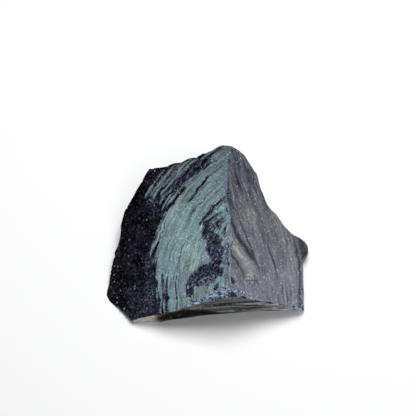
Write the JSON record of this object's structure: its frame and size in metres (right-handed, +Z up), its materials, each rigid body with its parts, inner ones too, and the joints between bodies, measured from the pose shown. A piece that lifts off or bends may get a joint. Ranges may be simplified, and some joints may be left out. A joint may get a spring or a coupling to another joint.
{
  "type": "rough goldstone chunk",
  "caption": "Rough broken chunk of dark blue goldstone glass with broad flat breaks meeting at a sharp ridge, full of fine metallic glitter.",
  "frame": {"origin": "on the flat break the chunk rests on, under the middle of its bounding box", "axes": "+Z up from the resting break, the top ridge runs from the front (-Y) to the back (+Y), the broad left face slopes down to -X and the narrower face to +X"},
  "size_m": [0.0732, 0.0598, 0.0288],
  "materials": {
    "goldstone": "opaque dark navy aventurine glass, freshly broken: glossy breaks full of fine metallic flakes, with satin grey and teal frosted areas"
  },
  "bodies": {
    "root": {"goldstone_chunk": "goldstone"}
  },
  "joints": []
}
